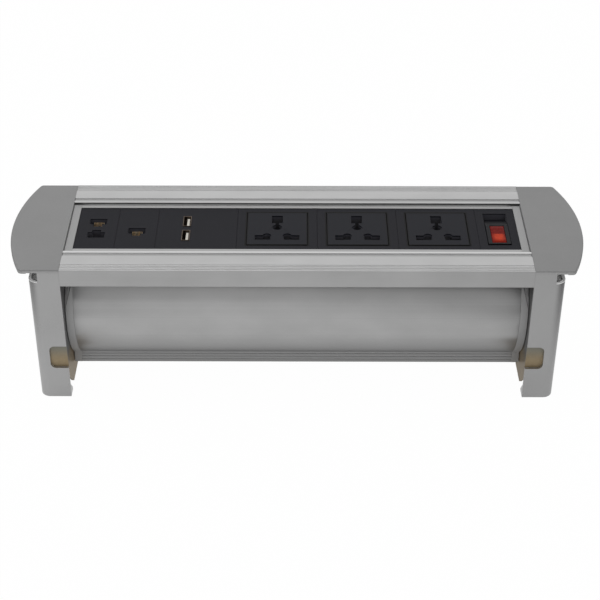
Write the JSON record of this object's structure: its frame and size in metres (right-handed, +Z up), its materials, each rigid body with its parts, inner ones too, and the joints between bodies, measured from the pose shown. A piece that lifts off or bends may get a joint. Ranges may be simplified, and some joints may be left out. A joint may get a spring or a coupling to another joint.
{
  "type": "flip-over desk power unit",
  "caption": "Desk power and data unit: two aluminium rails between D-shaped end flanges on legs, with a drum that turns over to hide its socket panel.",
  "frame": {"origin": "centre of the footprint, on the plane of the legs' feet", "axes": "+X along the rails towards the switch end, +Y from the user's edge to the rear, +Z up out of the desk"},
  "size_m": [0.4258, 0.12, 0.115],
  "materials": {
    "rail_aluminium": "satin anodised, drawn lines along the length",
    "drum_aluminium": "satin anodised",
    "end_grey": "fine matt silver-grey coat",
    "leg_grey": "fine matt silver-grey coat",
    "cap_grey": "matt silver-grey",
    "bracket_steel": "yellow passivated sheet steel",
    "pivot_steel": "plated steel",
    "screw_steel": "plated steel",
    "nut_brass": "turned brass",
    "bush_plastic": "natural acetal",
    "washer_rubber": "matt black",
    "panel_black": "fine matt black",
    "insert_black": "fine matt black",
    "base_black": "matt black",
    "contact_brass": "rolled brass",
    "wire_gold": "gold plated",
    "jack_grey": "matt dark grey",
    "usb_steel": "bright plated",
    "tongue_white": "white",
    "board_green": "green solder resist",
    "rocker_black": "satin black",
    "lens_red": "clear red"
  },
  "bodies": {
    "frame": {"front_rail": "rail_aluminium", "rear_rail": "rail_aluminium", "flange_left": "end_grey", "flange_right": "end_grey", "leg_left": "leg_grey", "leg_right": "leg_grey", "bearing_bracket_left": "bracket_steel", "bearing_bracket_right": "bracket_steel", "pivot_bush_left": "bush_plastic", "pivot_bush_right": "bush_plastic", "friction_washer_left": "washer_rubber", "friction_washer_right": "washer_rubber", "detent_plunger_left": "screw_steel", "detent_plunger_right": "screw_steel", "rail_screws": "screw_steel", "flange_screws": "screw_steel"},
    "drum": {"drum_shell": "drum_aluminium", "drum_cap_left": "cap_grey", "drum_cap_right": "cap_grey", "cap_screws": "screw_steel", "pivot_tube_left": "pivot_steel", "pivot_nut_left": "nut_brass", "cable_grommet_left": "washer_rubber", "pivot_tube_right": "pivot_steel", "pivot_nut_right": "nut_brass", "cable_grommet_right": "washer_rubber", "data_plate_pair": "panel_black", "data_plate_single": "panel_black", "jack_1": "jack_grey", "jack_wires_1": "wire_gold", "jack_2": "jack_grey", "jack_wires_2": "wire_gold", "jack_3": "jack_grey", "jack_wires_3": "wire_gold", "charger_plate": "panel_black", "usb_shell_1": "usb_steel", "usb_tongue_1": "tongue_white", "usb_shell_2": "usb_steel", "usb_tongue_2": "tongue_white", "charger_board": "board_green", "socket_plate_1": "panel_black", "socket_face_1": "insert_black", "socket_base_1": "base_black", "socket_contacts_1": "contact_brass", "socket_plate_2": "panel_black", "socket_face_2": "insert_black", "socket_base_2": "base_black", "socket_contacts_2": "contact_brass", "socket_plate_3": "panel_black", "socket_face_3": "insert_black", "socket_base_3": "base_black", "socket_contacts_3": "contact_brass", "busbar_earth": "contact_brass", "busbar_live": "contact_brass", "busbar_neutral": "contact_brass", "switch_plate": "panel_black", "switch_housing": "base_black", "rocker_pin": "screw_steel"},
    "rocker": {"switch_rocker": "rocker_black", "rocker_lens": "lens_red"}
  },
  "joints": [
    {"name": "drum_turn", "type": "hinge", "parent": "frame", "child": "drum", "pos_m": [0, 0, 0.063], "axis": [1, 0, 0], "range_deg": [0, 180]},
    {"name": "switch_rock", "type": "hinge", "parent": "drum", "child": "rocker", "pos_m": [0.15, 0, 0.107], "axis": [1, 0, 0], "range_deg": [0, 16]}
  ]
}
